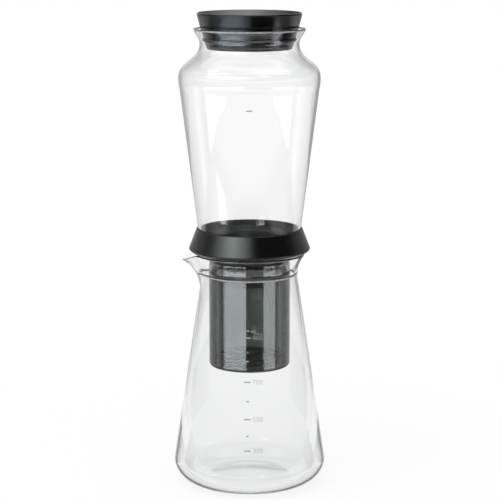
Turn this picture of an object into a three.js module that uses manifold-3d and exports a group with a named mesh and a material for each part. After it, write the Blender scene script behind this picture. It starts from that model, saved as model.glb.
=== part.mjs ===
// A cold brew coffee maker: a glass carafe with a pouring lip, a black collar that stands in its mouth,
// a smoked strainer cup hung from the collar, a glass water bowl standing on the cup, and a plug lid.
// Millimetres, +Z up, the origin at the middle of the face that the carafe stands on.
import * as THREE from "three";
import { mergeVertices } from "three/addons/utils/BufferGeometryUtils.js";
import Module from "manifold-3d";

const wasm = await Module();
wasm.setup();

// Fits
const seatGap = 0.3; // between two pieces that rest on each other
const slipGap = 0.4; // round a piece that lifts out of another
const cutOverrun = 1; // how far a cutting or joining body runs past what it meets
const weldDistance = 1e-4; // vertices closer than this are one

// Strainer cup, whose radius sets the carafe's throat, the collar's bore and the bowl's foot
const cupRadius = 31;
const cupWall = 1.6;
const cupHeight = 92.1;
const cupFloorThickness = 2.2;
const cupCornerRadius = 2;
const cupFlangeThickness = 1.8;
const cupLedgeWidth = 0.8; // the step inside the wall that carries the spreader tray
const cupLedgeDrop = 27.1; // below the top of the flange
const floorRibHeight = 2;
const floorRibWidth = 1.2;
const floorRibStart = 8;
const floorRibMargin = 1.5; // from a rib's end to the wall
const floorRibCount = 8;

// Carafe
const carafeHeight = 179.9;
const carafeWall = 1.8;
const carafeBaseThickness = 2.6;
const carafeBaseRingInner = 33.5;
const carafeBaseRingWidth = 4;
const carafeBaseHollow = 2.2; // the middle of the base stands this far off the table
const carafeCornerWidth = 20.8;
const carafeCornerHeight = 17;
const carafeThroatDrop = 16.9; // from the rim down to the narrowest ring
const carafeNeckBlend = 17; // height over which the cone turns into the throat
const carafeNeckEase = 2; // radius that the cone still loses in that blend
const carafeMouthFlare = 4.5;
const pourGap = 4.8; // between the cup and the throat
const spoutReach = 9.1;
const spoutDroop = 5.9;
const spoutDepth = 25.9;
const spoutHalfAngle = THREE.MathUtils.degToRad(13);
const spoutReachPower = 1.4; // how late in its height the lip reaches out
const spoutDroopPower = 4; // and how late it droops

// Collar
const collarHeight = 18.2; // above the carafe's rim
const collarLip = 0.9;
const collarOverhang = 4.1; // outside the carafe's rim
const collarEdgeHeight = 3;
const collarEdgeRadius = 1.4;
const collarUndersideMargin = 0.9; // flat underside outside the carafe's rim
const collarLedgeThickness = 1.8;
const collarConeDepth = 5.7;
const collarConeWidth = 6.1;
const collarConeEdge = 0.6;

// Water bowl
const bowlSeatWidth = 6.86; // from the cup's wall out to the foot's edge
const bowlWall = 1.8;
const bowlConeHeight = 116.5;
const bowlConeFlare = 14.48; // radius that the cone gains over its height
const bowlShoulderHeight = 9.5;
const bowlShoulderBulge = 1.16;
const bowlThroatRise = 26.5; // from the widest ring up to the throat
const bowlThroatRadius = 37.4;
const bowlMouthHeight = 10.6;
const bowlMouthFlare = 4.6;

// Seal between the bowl and the cup
const sealThickness = 1.8;
const sealLipHeight = 2.6;
const sealLipWidth = 1.4;
const sealInnerMargin = 1; // from the cup's wall out to the seal's inner edge

// Spreader tray
const trayFloorThickness = 1.8;
const trayHeight = 9.4;
const trayWall = 1.6;
const trayKnobRadius = 4;
const trayKnobHeight = 12.5;
const trayKnobRound = 1.5;
const trayHoleRadius = 1.1;
const trayHoleRings = [
  { radiusShare: 0.34, count: 6 },
  { radiusShare: 0.56, count: 12 },
  { radiusShare: 0.78, count: 18 },
];

// Mesh filter on the cup's floor
const screenThickness = 0.4;
const frameHeight = 1.6;
const frameRingWidth = 2.4;
const frameSpokeWidth = 1.6;
const frameSpokeCount = 3;

// Drip nozzle, a rubber grommet through the cup's floor
const nozzleRadius = 4;
const nozzleFlangeRadius = 6.5;
const nozzleFlangeThickness = 1.2;
const nozzleBarbWidth = 0.9;
const nozzleBarbThickness = 1;
const nozzleTipRadius = 2.6;
const nozzleTipLength = 2.4;
const nozzleBoreRadius = 0.8;

// Lid
const lidCapHeight = 12.2; // above the bowl's rim
const lidPlugDepth = 15; // below it
const lidCapFlare = 2.8;
const lidPlugTaper = 4.9;
const lidWall = 2.2;
const lidTopThickness = 2.6;
const lidEdgeRadius = 1.3;
const gasketHeight = 2.4;
const gasketDrop = 6.4; // from the bowl's rim down to the gasket's top edge
const gasketReach = 1.7; // out from the plug to where it meets the glass
const gasketGrooveDepth = 0.9;

// Facets
const turnSteps = 48;
const smallTurnSteps = 20;
const holeSteps = 6;
const curveSteps = 4;
const cornerSteps = 3;

// Radii and heights that follow from the sizes above
const carafeThroatInner = cupRadius + pourGap;
const carafeThroatRadius = carafeThroatInner + carafeWall;
const carafeThroatHeight = carafeHeight - carafeThroatDrop;
const carafeMouthRadius = carafeThroatRadius + carafeMouthFlare;
const collarBore = cupRadius + slipGap;
const collarRadius = carafeMouthRadius + collarOverhang;
const bowlFootRadius = cupRadius + bowlSeatWidth;
const cupFlangeRadius = bowlFootRadius - slipGap;
const cupUpperInner = cupRadius - cupWall;
const cupLowerInner = cupUpperInner - cupLedgeWidth;
const sealInner = cupRadius + sealInnerMargin;
const bowlWidestRadius = bowlFootRadius + bowlConeFlare + bowlShoulderBulge;
const bowlWidestHeight = bowlConeHeight + bowlShoulderHeight;
const bowlThroatHeight = bowlWidestHeight + bowlThroatRise;
const bowlHeight = bowlThroatHeight + bowlMouthHeight;

// Where each piece stands, measured in the frame of the stage that carries it
const cupHangs = collarLedgeThickness + seatGap;
const sealLies = cupFlangeThickness + seatGap;
const bowlStands = sealLies + sealThickness + seatGap;
const trayStands = cupFlangeThickness - cupLedgeDrop + seatGap;
const cupBottom = cupFlangeThickness - cupHeight;
const cupFloorTop = cupBottom + cupFloorThickness;
const screenLies = cupFloorTop + floorRibHeight + seatGap;
const frameLies = screenLies + screenThickness + seatGap;

const glass = new THREE.MeshStandardMaterial({
  color: 0xf4f8f8,
  roughness: 0.03,
  metalness: 0,
  transparent: true,
  opacity: 0.35,
});
const blackPlastic = new THREE.MeshStandardMaterial({ color: 0x17181a, roughness: 0.45, metalness: 0 });
const smokedPlastic = new THREE.MeshStandardMaterial({
  color: 0x4c5252,
  roughness: 0.08,
  metalness: 0,
  transparent: true,
  opacity: 0.75,
});
const rubber = new THREE.MeshStandardMaterial({ color: 0x2a2b2d, roughness: 0.7, metalness: 0 });
const fineMesh = new THREE.MeshStandardMaterial({ color: 0x9a9c9e, roughness: 0.5, metalness: 0.6 });

const at = (radius, height) => new THREE.Vector2(radius, height);

// Points along a cubic curve, without its first point.
function curve(start, startControl, endControl, end, steps = curveSteps) {
  return new THREE.CubicBezierCurve(start, startControl, endControl, end).getPoints(steps).slice(1);
}

// Points along part of an ellipse, from one angle to another in turns of a circle.
function arc(centre, width, height, fromTurn, toTurn, steps = cornerSteps) {
  const full = 2 * Math.PI;
  const ellipse = new THREE.EllipseCurve(
    centre.x, centre.y, width, height, fromTurn * full, toTurn * full, toTurn < fromTurn,
  );
  return ellipse.getPoints(steps);
}

// The outline moved inwards by a wall whose thickness may depend on the height.
function inside(outline, wallAt) {
  return outline.map((point, i) => {
    const before = outline[Math.max(i - 1, 0)];
    const after = outline[Math.min(i + 1, outline.length - 1)];
    const along = at(0, 0).subVectors(after, before).normalize();
    const inwards = at(-along.y, along.x);
    const moved = point.clone().addScaledVector(inwards, wallAt(point.y));
    return point.x === 0 ? at(0, point.y + wallAt(point.y)) : moved;
  });
}

// The half circle that joins the outer and inner edges of a fire-polished rim.
function roundedRim(outer, inner, steps = cornerSteps) {
  const middle = outer.clone().lerp(inner, 0.5);
  const arm = outer.clone().sub(middle);
  return Array.from({ length: steps - 1 }, (_, i) => {
    const turned = arm.clone().rotateAround(at(0, 0), (Math.PI * (i + 1)) / steps);
    return turned.add(middle);
  });
}

// A solid of revolution about Z. The outline runs anticlockwise seen with the radius to the right.
function turned(outline, steps = turnSteps) {
  const points = outline[0].x === 0 ? outline : [...outline, outline[0]];
  const lathe = new THREE.LatheGeometry(points, steps);
  return lathe.rotateX(Math.PI / 2);
}

function solid(geometry) {
  const bare = geometry.clone();
  bare.deleteAttribute("normal");
  bare.deleteAttribute("uv");
  const merged = mergeVertices(bare, weldDistance);
  return new wasm.Manifold(new wasm.Mesh({
    numProp: 3,
    vertProperties: merged.attributes.position.array,
    triVerts: new Uint32Array(merged.index.array),
  }));
}

function geometryOf(body) {
  const mesh = body.getMesh();
  const positions = new THREE.BufferAttribute(mesh.vertProperties, mesh.numProp);
  const geometry = new THREE.BufferGeometry().setAttribute("position", positions);
  geometry.setIndex(new THREE.BufferAttribute(mesh.triVerts, 1));
  return geometry;
}

function part(name, geometry, material, height = 0) {
  const mesh = new THREE.Mesh(geometry, material);
  mesh.name = name;
  mesh.position.z = height;
  return mesh;
}

// Carafe: one blown piece, foot ring, rounded corner, cone, throat and flared mouth.
function carafeOutline() {
  const ringOuter = carafeBaseRingInner + carafeBaseRingWidth;
  const bodyRadius = ringOuter + carafeCornerWidth;
  const coneTop = at(carafeThroatRadius + carafeNeckEase, carafeThroatHeight - carafeNeckBlend);
  const coneSlope = (bodyRadius - coneTop.x) / (coneTop.y - carafeCornerHeight);
  const cornerEnd = Math.atan((coneSlope * carafeCornerHeight) / carafeCornerWidth) / (2 * Math.PI);
  const hollowShares = { flat: 0.55, turn: 0.86 };
  const coneControl = carafeNeckBlend / 2;
  const throat = at(carafeThroatRadius, carafeThroatHeight);
  const mouth = at(carafeMouthRadius, carafeHeight - carafeWall / 2);
  const mouthShares = { rise: 0.4, edge: 0.34, drop: 0.28 };
  return [
    at(0, carafeBaseHollow),
    ...curve(
      at(0, carafeBaseHollow),
      at(carafeBaseRingInner * hollowShares.flat, carafeBaseHollow),
      at(carafeBaseRingInner * hollowShares.turn, 0),
      at(carafeBaseRingInner, 0),
    ),
    ...arc(
      at(ringOuter, carafeCornerHeight),
      carafeCornerWidth,
      carafeCornerHeight,
      -0.25,
      cornerEnd,
      2 * curveSteps,
    ),
    coneTop,
    ...curve(
      coneTop,
      at(coneTop.x - coneSlope * coneControl, coneTop.y + coneControl),
      at(throat.x, throat.y - coneControl),
      throat,
      cornerSteps,
    ),
    ...curve(
      throat,
      at(throat.x, throat.y + carafeThroatDrop * mouthShares.rise),
      at(mouth.x - carafeMouthFlare * mouthShares.edge, mouth.y - carafeThroatDrop * mouthShares.drop),
      mouth,
      curveSteps + 1,
    ),
  ];
}

function carafeWallOutline() {
  const outer = carafeOutline();
  const extra = carafeBaseThickness - carafeWall;
  const wallAt = (height) => carafeWall + extra * Math.max(0, 1 - height / carafeCornerHeight);
  const inner = inside(outer, wallAt);
  const rim = roundedRim(outer.at(-1), inner.at(-1));
  return [...outer, ...rim, ...inner.reverse()];
}

// Draws the wall out into a pouring lip on the -X side.
function drawSpout(geometry) {
  const position = geometry.attributes.position;
  const start = carafeHeight - spoutDepth;
  for (let i = 0; i < position.count; i += 1) {
    const [x, y, z] = [position.getX(i), position.getY(i), position.getZ(i)];
    if (z <= start) continue;
    const radius = Math.hypot(x, y);
    const turn = Math.atan2(y, x);
    const offSpout = (Math.PI - Math.abs(turn)) / spoutHalfAngle;
    const near = Math.exp(-(offSpout ** 2));
    const rise = Math.min((z - start) / spoutDepth, 1);
    const drawn = radius + spoutReach * near * Math.sin((rise * Math.PI) / 2) ** spoutReachPower;
    const dropped = z - spoutDroop * near * rise ** spoutDroopPower;
    position.setXYZ(i, drawn * Math.cos(turn), drawn * Math.sin(turn), dropped);
  }
  return geometry;
}

// Turns the evenly spaced facets so that they are closer together round the spout.
function crowdFacetsAtSpout(geometry) {
  const position = geometry.attributes.position;
  const crowdingShare = 0.5;
  for (let i = 0; i < position.count; i += 1) {
    const radius = Math.hypot(position.getX(i), position.getY(i));
    const turn = Math.atan2(position.getY(i), position.getX(i));
    const moved = turn + crowdingShare * Math.sin(turn);
    position.setXY(i, radius * Math.cos(moved), radius * Math.sin(moved));
  }
  return geometry;
}

function carafe() {
  return drawSpout(crowdFacetsAtSpout(turned(carafeWallOutline())));
}

// Water bowl: open at the foot and the mouth, with a round shoulder under a flared neck.
function bowlOutline() {
  const coneSlope = bowlConeFlare / bowlConeHeight;
  const coneTop = at(bowlFootRadius + bowlConeFlare, bowlConeHeight);
  const widest = at(bowlWidestRadius, bowlWidestHeight);
  const throat = at(bowlThroatRadius, bowlThroatHeight);
  const mouth = at(bowlThroatRadius + bowlMouthFlare, bowlHeight - bowlWall / 2);
  const easeShares = { start: 0.42, end: 0.42 };
  const shoulderShares = { start: 0.54, end: 0.53 };
  const mouthShares = { rise: 0.3, edge: 0.35, drop: 0.33 };
  const ease = bowlShoulderHeight * easeShares.start;
  return [
    at(bowlFootRadius, bowlWall / 2),
    coneTop,
    ...curve(
      coneTop,
      at(coneTop.x + coneSlope * ease, coneTop.y + ease),
      at(widest.x, widest.y - bowlShoulderHeight * easeShares.end),
      widest,
      cornerSteps - 1,
    ),
    ...curve(
      widest,
      at(widest.x, widest.y + bowlThroatRise * shoulderShares.start),
      at(throat.x, throat.y - bowlThroatRise * shoulderShares.end),
      throat,
      curveSteps + 3,
    ),
    ...curve(
      throat,
      at(throat.x, throat.y + bowlMouthHeight * mouthShares.rise),
      at(mouth.x - bowlMouthFlare * mouthShares.edge, mouth.y - bowlMouthHeight * mouthShares.drop),
      mouth,
    ),
  ];
}

function bowlInnerOutline() {
  return inside(bowlOutline(), () => bowlWall);
}

function waterBowl() {
  const outer = bowlOutline();
  const inner = bowlInnerOutline();
  const rim = roundedRim(outer.at(-1), inner.at(-1));
  const foot = roundedRim(inner[0], outer[0]);
  return turned([...outer, ...rim, ...inner.reverse(), ...foot]);
}

// Radius of an outline at a height, on the straight line between its two nearest points.
function radiusAt(outline, height) {
  const next = outline.findIndex((point) => point.y >= height);
  const [low, high] = [outline[next - 1], outline[next]];
  return THREE.MathUtils.mapLinear(height, low.y, high.y, low.x, high.x);
}

// Collar: a socket for the bowl's foot, a ledge for the cup's flange, a flange over the carafe's rim
// and a short cone that goes down into the carafe's mouth.
function collar() {
  const bowlBase = cupHangs + bowlStands;
  const socketAt = (height) => radiusAt(bowlOutline(), height - bowlBase) + seatGap;
  const socket = bowlFootRadius + seatGap;
  const footEnd = bowlBase + bowlWall;
  const lipInner = socketAt(collarHeight);
  const edge = at(collarRadius - collarEdgeRadius, collarEdgeHeight);
  const undersideEnd = carafeMouthRadius + collarUndersideMargin;
  return turned([
    at(collarBore, -collarConeDepth),
    at(collarBore + collarConeEdge, -collarConeDepth),
    at(collarBore + collarConeWidth, 0),
    at(undersideEnd, 0),
    ...arc(edge, collarEdgeRadius, collarEdgeRadius, -0.2, 0.06),
    at(lipInner + collarLip, collarHeight),
    at(lipInner, collarHeight),
    at(socketAt(footEnd), footEnd),
    at(socket, bowlBase),
    at(socket, collarLedgeThickness),
    at(collarBore, collarLedgeThickness),
  ]);
}

// Strainer cup: measured from the underside of its flange, which rests on the collar's ledge.
function strainerCup() {
  const corner = at(cupRadius - cupCornerRadius, cupBottom + cupCornerRadius);
  const shell = solid(turned([
    at(0, cupBottom),
    ...arc(corner, cupCornerRadius, cupCornerRadius, -0.25, 0),
    at(cupRadius, 0),
    at(cupFlangeRadius, 0),
    at(cupFlangeRadius, cupFlangeThickness),
    at(cupUpperInner, cupFlangeThickness),
    at(cupUpperInner, cupFlangeThickness - cupLedgeDrop),
    at(cupLowerInner, cupFlangeThickness - cupLedgeDrop),
    at(cupLowerInner, cupFloorTop),
    at(0, cupFloorTop),
  ]));
  const drain = new THREE.CylinderGeometry(
    nozzleRadius + slipGap, nozzleRadius + slipGap, cupFloorThickness + 2 * cutOverrun, smallTurnSteps,
  ).rotateX(Math.PI / 2).translate(0, 0, cupFloorTop - cupFloorThickness / 2);
  const ribLength = cupLowerInner - floorRibMargin - floorRibStart;
  const rib = new THREE.BoxGeometry(ribLength, floorRibWidth, floorRibHeight + cutOverrun)
    .translate(floorRibStart + ribLength / 2, 0, cupFloorTop + (floorRibHeight - cutOverrun) / 2);
  let cup = shell.subtract(solid(drain));
  for (let i = 0; i < floorRibCount; i += 1) {
    cup = cup.add(solid(rib.clone().rotateZ((2 * Math.PI * (i + 0.5)) / floorRibCount)));
  }
  return geometryOf(cup);
}

// Seal: a flat ring on the cup's flange, with a lip inside the bowl's foot.
function bowlSeal() {
  const lipOuter = bowlFootRadius - bowlWall - slipGap;
  const lipTop = sealThickness + sealLipHeight;
  return turned([
    at(sealInner, 0),
    at(cupFlangeRadius, 0),
    at(cupFlangeRadius, sealThickness),
    at(lipOuter, sealThickness),
    at(lipOuter, lipTop),
    at(lipOuter - sealLipWidth, lipTop),
    at(sealInner, sealThickness),
  ]);
}

// Spreader tray: a shallow pan with rings of drip holes and a knob to lift it by.
function spreaderTray() {
  const radius = cupUpperInner - seatGap;
  const pan = radius - trayWall;
  const knobShoulder = at(trayKnobRadius - trayKnobRound, trayKnobHeight - trayKnobRound);
  let tray = solid(turned([
    at(0, 0),
    at(radius, 0),
    at(radius, trayHeight),
    at(pan, trayHeight),
    at(pan, trayFloorThickness),
    at(trayKnobRadius, trayFloorThickness),
    ...arc(knobShoulder, trayKnobRound, trayKnobRound, 0, 0.25),
    at(0, trayKnobHeight),
  ]));
  const hole = solid(new THREE.CylinderGeometry(
    trayHoleRadius, trayHoleRadius, trayFloorThickness + 2 * cutOverrun, holeSteps,
  ).rotateX(Math.PI / 2).translate(0, 0, trayFloorThickness / 2));
  for (const ring of trayHoleRings) {
    for (let i = 0; i < ring.count; i += 1) {
      const turn = (2 * Math.PI * i) / ring.count;
      const reach = pan * ring.radiusShare;
      tray = tray.subtract(hole.translate([reach * Math.cos(turn), reach * Math.sin(turn), 0]));
    }
  }
  return geometryOf(tray);
}

// Mesh filter: a fine screen under a ring with spokes.
function screenRadius() {
  return cupLowerInner - slipGap;
}

function filterScreen() {
  return turned([
    at(0, 0),
    at(screenRadius(), 0),
    at(screenRadius(), screenThickness),
    at(0, screenThickness),
  ]);
}

function filterFrame() {
  const outer = screenRadius();
  const inner = outer - frameRingWidth;
  let frame = solid(turned([at(inner, 0), at(outer, 0), at(outer, frameHeight), at(inner, frameHeight)]));
  const reach = inner + frameRingWidth / 2;
  const spoke = new THREE.BoxGeometry(2 * reach, frameSpokeWidth, frameHeight)
    .translate(0, 0, frameHeight / 2);
  for (let i = 0; i < frameSpokeCount; i += 1) {
    frame = frame.add(solid(spoke.clone().rotateZ((Math.PI * i) / frameSpokeCount)));
  }
  return geometryOf(frame);
}

// Drip nozzle: measured from the top of the cup's floor, which sits between its flange and its barb.
function dripNozzle() {
  const flangeLow = seatGap;
  const barbTop = -cupFloorThickness - seatGap;
  const barbLow = barbTop - nozzleBarbThickness;
  return turned([
    at(nozzleBoreRadius, barbLow - nozzleTipLength),
    at(nozzleTipRadius, barbLow - nozzleTipLength),
    at(nozzleRadius, barbLow),
    at(nozzleRadius + nozzleBarbWidth, barbTop),
    at(nozzleRadius, barbTop),
    at(nozzleRadius, flangeLow),
    at(nozzleFlangeRadius, flangeLow),
    at(nozzleFlangeRadius, flangeLow + nozzleFlangeThickness),
    at(nozzleBoreRadius, flangeLow + nozzleFlangeThickness),
  ], smallTurnSteps);
}

// Lid: measured from the bowl's rim. Its gasket rests on the glass where the mouth narrows to the throat.
const gasketTop = -gasketDrop;
const gasketMiddle = gasketTop - gasketHeight / 2;
const gasketLow = gasketTop - gasketHeight;
const gasketRadius = radiusAt(bowlInnerOutline(), bowlHeight + gasketMiddle) - seatGap;
const gasketRoot = gasketRadius - gasketReach;
const plugSlope = lidPlugTaper / lidPlugDepth;
const plugAt = (height) => gasketRoot + plugSlope * (height - gasketMiddle);

function lid() {
  const rimRadius = plugAt(0);
  const capRadius = rimRadius + lidCapFlare;
  const bottom = -lidPlugDepth;
  const edge = at(capRadius - lidEdgeRadius, lidCapHeight - lidEdgeRadius);
  const grooveTop = gasketTop + seatGap;
  const grooveLow = gasketLow - seatGap;
  const grooveRadius = gasketRoot - gasketGrooveDepth;
  const ceiling = lidCapHeight - lidTopThickness;
  return turned([
    at(0, ceiling),
    at(rimRadius - lidWall, ceiling),
    at(plugAt(grooveTop) - lidWall, grooveTop),
    at(plugAt(bottom) - lidWall, bottom),
    at(plugAt(bottom), bottom),
    at(plugAt(grooveLow), grooveLow),
    at(grooveRadius, grooveLow),
    at(grooveRadius, grooveTop),
    at(plugAt(grooveTop), grooveTop),
    at(rimRadius, 0),
    ...arc(edge, lidEdgeRadius, lidEdgeRadius, -0.03, 0.25),
    at(0, lidCapHeight),
  ]);
}

function lidGasket() {
  const bore = gasketRoot - gasketGrooveDepth + seatGap;
  return turned([
    at(bore, gasketLow),
    at(gasketRoot, gasketLow),
    at(gasketRadius, gasketMiddle),
    at(gasketRoot, gasketTop),
    at(bore, gasketTop),
  ]);
}

// Assembly: each stage lifts out of the one below it.
const lidStage = new THREE.Group();
lidStage.position.z = bowlHeight;
lidStage.add(part("lid", lid(), blackPlastic), part("lid_gasket", lidGasket(), rubber));

const bowlStage = new THREE.Group();
bowlStage.position.z = bowlStands;
bowlStage.add(part("water_bowl", waterBowl(), glass), lidStage);

const cupStage = new THREE.Group();
cupStage.position.z = cupHangs;
cupStage.add(
  part("strainer_cup", strainerCup(), smokedPlastic),
  part("bowl_seal", bowlSeal(), rubber, sealLies),
  part("spreader_tray", spreaderTray(), blackPlastic, trayStands),
  part("filter_screen", filterScreen(), fineMesh, screenLies),
  part("filter_frame", filterFrame(), blackPlastic, frameLies),
  part("drip_nozzle", dripNozzle(), rubber, cupFloorTop),
  bowlStage,
);

const carafeRim = Math.max(...carafeWallOutline().map((point) => point.y));
const collarStage = new THREE.Group();
collarStage.position.z = carafeRim + seatGap;
collarStage.add(part("collar", collar(), blackPlastic), cupStage);

const coffeeMaker = new THREE.Group();
coffeeMaker.add(part("carafe", carafe(), glass), collarStage);

export default coffeeMaker;
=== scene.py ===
"""The looks of a cold brew coffee maker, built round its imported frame.

Sizes are in millimetres and become metres when a mesh is made. +Z is up, the pouring lip is at -X,
and the printed scale faces -Y, where the camera stands. The studio's places are in metres, and in
degrees round the axis.
"""
import math

import bmesh
import bpy
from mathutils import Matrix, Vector


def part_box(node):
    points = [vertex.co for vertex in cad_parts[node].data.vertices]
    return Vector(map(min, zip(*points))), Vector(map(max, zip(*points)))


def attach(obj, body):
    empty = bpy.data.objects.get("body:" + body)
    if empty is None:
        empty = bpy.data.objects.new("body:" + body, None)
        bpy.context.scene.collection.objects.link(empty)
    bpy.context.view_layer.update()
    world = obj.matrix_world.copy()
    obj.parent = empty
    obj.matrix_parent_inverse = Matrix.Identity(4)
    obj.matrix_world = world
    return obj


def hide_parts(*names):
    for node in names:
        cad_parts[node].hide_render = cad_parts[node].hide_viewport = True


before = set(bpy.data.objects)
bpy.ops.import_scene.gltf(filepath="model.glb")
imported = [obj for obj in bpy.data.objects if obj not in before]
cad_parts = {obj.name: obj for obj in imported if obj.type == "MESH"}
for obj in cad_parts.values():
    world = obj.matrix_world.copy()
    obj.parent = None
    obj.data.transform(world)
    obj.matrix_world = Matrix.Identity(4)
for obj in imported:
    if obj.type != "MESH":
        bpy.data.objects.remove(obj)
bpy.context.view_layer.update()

MM = 0.001
TURN = 2 * math.pi

# Facets
ROUND_STEPS = 192
SMALL_STEPS = 48
CURVE_STEPS = 16
CORNER_STEPS = 5
HOLE_STEPS = 16
PRINT_STEPS = 6

# Fits
SEAT_GAP = 0.3  # between two pieces that rest on each other
SLIP_GAP = 0.4  # round a piece that lifts out of another

# Strainer cup
CUP_RADIUS = 31
CUP_WALL = 1.6
CUP_HEIGHT = 92.1
CUP_FLOOR = 2.2
CUP_CORNER = 2
CUP_FLANGE = 1.8
CUP_LEDGE_WIDTH = 0.8
CUP_LEDGE_DROP = 27.1
RIB_HEIGHT = 2
RIB_WIDTH = 1.2
RIB_START = 8
RIB_MARGIN = 1.5
RIB_COUNT = 8
RIB_SINK = 1  # how far a rib reaches down into the floor
CUP_EASE = 0.3  # how far its sharp edges are eased, as for the other mouldings

# Carafe
CARAFE_HEIGHT = 179.9
CARAFE_WALL = 1.8
BASE_THICKNESS = 2.6
BASE_RING_INNER = 33.5
BASE_RING_WIDTH = 4
BASE_HOLLOW = 2.2
CORNER_WIDTH = 20.8
CORNER_HEIGHT = 17
THROAT_DROP = 16.9
NECK_DRAWN_IN = 0.7  # the glass is this much tighter here than the solid, with a crisp fold
NECK_FOLD = 1.4
NECK_FOLD_RISE = 1.5
NECK_STEP = 0.5
FOLD_HIGHLIGHT_SHARE = 0.75  # how much of the fold's height carries the painted highlight band
FOLD_HIGHLIGHT_GAP = 1.4  # how far its painted highlight band stays away from the spout, in half angles of the spout
MOUTH_FLARE = 4.5
POUR_GAP = 4.8
SPOUT_REACH = 9.1
SPOUT_DROOP = 5.9
SPOUT_DEPTH = 25.9
SPOUT_HALF_ANGLE = math.radians(13)
SPOUT_REACH_POWER = 1.4
SPOUT_DROOP_POWER = 4
SPOUT_CROWDING_SHARE = 0.5

# Collar
COLLAR_HEIGHT = 18.2
COLLAR_LIP = 0.9
COLLAR_OVERHANG = 4.1
COLLAR_EDGE_HEIGHT = 3
COLLAR_EDGE_RADIUS = 1.4
COLLAR_EDGE_TURNS = (-0.2, 0.06)  # where its rounding starts and ends, in turns of a circle
COLLAR_UNDERSIDE = 0.9
COLLAR_LEDGE = 1.8
COLLAR_CONE_DEPTH = 5.7
COLLAR_CONE_WIDTH = 6.1
COLLAR_CONE_EDGE = 0.6
COLLAR_EASE = 0.35

# Water bowl
BOWL_SEAT_WIDTH = 6.86
BOWL_WALL = 1.8
BOWL_CONE_HEIGHT = 116.5
BOWL_CONE_FLARE = 14.48
BOWL_SHOULDER = 9.5
BOWL_SHOULDER_SHARE = 0.42
BOWL_BULGE = 1.16
BOWL_THROAT_RISE = 26.5
BOWL_THROAT_RADIUS = 37.4
BOWL_MOUTH_HEIGHT = 10.6
BOWL_MOUTH_FLARE = 4.6
RIM_HIGHLIGHT = 1.0  # height of the painted highlight band along its mouth

# Seal
SEAL_THICKNESS = 1.8
SEAL_LIP_HEIGHT = 2.6
SEAL_LIP_WIDTH = 1.4
SEAL_INNER_MARGIN = 1
SEAL_EASE = 0.4

# Spreader tray
TRAY_FLOOR = 1.8
TRAY_HEIGHT = 9.4
TRAY_WALL = 1.6
KNOB_RADIUS = 4
KNOB_HEIGHT = 12.5
KNOB_ROUND = 1.5
TRAY_EASE = 0.3
HOLE_RADIUS = 1.1
DRILL_MARGIN = 1  # how far the drill goes past both faces
HOLE_RINGS = ((0.34, 6), (0.56, 12), (0.78, 18))  # share of the pan's radius, holes

# Mesh filter
SCREEN_THICKNESS = 0.4
FRAME_HEIGHT = 1.6
FRAME_RING_WIDTH = 2.4
SPOKE_WIDTH = 1.6
SPOKE_COUNT = 3
SCREEN_EASE = 0.1
FRAME_EASE = 0.25

# Drip nozzle
NOZZLE_RADIUS = 4
NOZZLE_FLANGE_RADIUS = 6.5
NOZZLE_FLANGE = 1.2
BARB_WIDTH = 0.9
BARB_THICKNESS = 1
TIP_RADIUS = 2.6
TIP_LENGTH = 2.4
NOZZLE_BORE = 0.8
NOZZLE_EASE = 0.25

# Lid
CAP_HEIGHT = 12.2
PLUG_DEPTH = 15
CAP_FLARE = 2.8
PLUG_TAPER = 4.9
LID_WALL = 2.2
LID_TOP = 2.6
LID_EDGE = 1.3
LID_EDGE_TURNS = (-0.03, 0.25)
LID_EASE = 0.3
GASKET_HEIGHT = 2.4
GASKET_DROP = 6.4
GASKET_REACH = 1.7
GASKET_GROOVE = 0.9
GASKET_EASE = 0.5

# Print on the glass: heights above the table, sideways places from the middle of the front
PRINT_LIFT = 0.05
PRINT_SINK = 0.03
LINE_WIDTH = 0.95
STROKE_WIDTH = 0.32
HUNDREDS = {9: 122.5, 8: 105.2, 7: 89.7, 6: 75.4, 5: 62.0, 4: 49.6, 3: 38.5}
LONG_TICK = (-4.05, 0.75)
SHORT_TICK = (-2.4, -0.6)
NUMBER_START = 2.6
DIGIT_HEIGHT = 3.2
DIGIT_ADVANCE = 2.75
OVERLINE = (3.0, 9.6)
OVERLINE_RISE = 3.0
UNIT_TICK = (-1.9, -0.4)
UNIT_RISE = 5.2
UNIT_START = 1.6
UNIT_HEIGHT = 2.9
EXTRA_DOT = (-1.7, -0.9)
EXTRA_DOT_HEIGHT = 111.8
FILL_LINE = (-2.6, 2.0)
FILL_LINE_HEIGHT = 293.7

# Radii and heights that follow
THROAT_RADIUS = CUP_RADIUS + POUR_GAP + CARAFE_WALL
THROAT_HEIGHT = CARAFE_HEIGHT - THROAT_DROP
MOUTH_RADIUS = THROAT_RADIUS + MOUTH_FLARE
COLLAR_BORE = CUP_RADIUS + SLIP_GAP
COLLAR_RADIUS = MOUTH_RADIUS + COLLAR_OVERHANG
BOWL_FOOT = CUP_RADIUS + BOWL_SEAT_WIDTH
FLANGE_RADIUS = BOWL_FOOT - SLIP_GAP
CUP_UPPER_INNER = CUP_RADIUS - CUP_WALL
CUP_LOWER_INNER = CUP_UPPER_INNER - CUP_LEDGE_WIDTH
BOWL_WIDEST = BOWL_FOOT + BOWL_CONE_FLARE + BOWL_BULGE
BOWL_WIDEST_HEIGHT = BOWL_CONE_HEIGHT + BOWL_SHOULDER
BOWL_THROAT_HEIGHT = BOWL_WIDEST_HEIGHT + BOWL_THROAT_RISE
BOWL_HEIGHT = BOWL_THROAT_HEIGHT + BOWL_MOUTH_HEIGHT
CUP_BOTTOM = CUP_FLANGE - CUP_HEIGHT
CUP_FLOOR_TOP = CUP_BOTTOM + CUP_FLOOR
SCREEN_RADIUS = CUP_LOWER_INNER - SLIP_GAP

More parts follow.
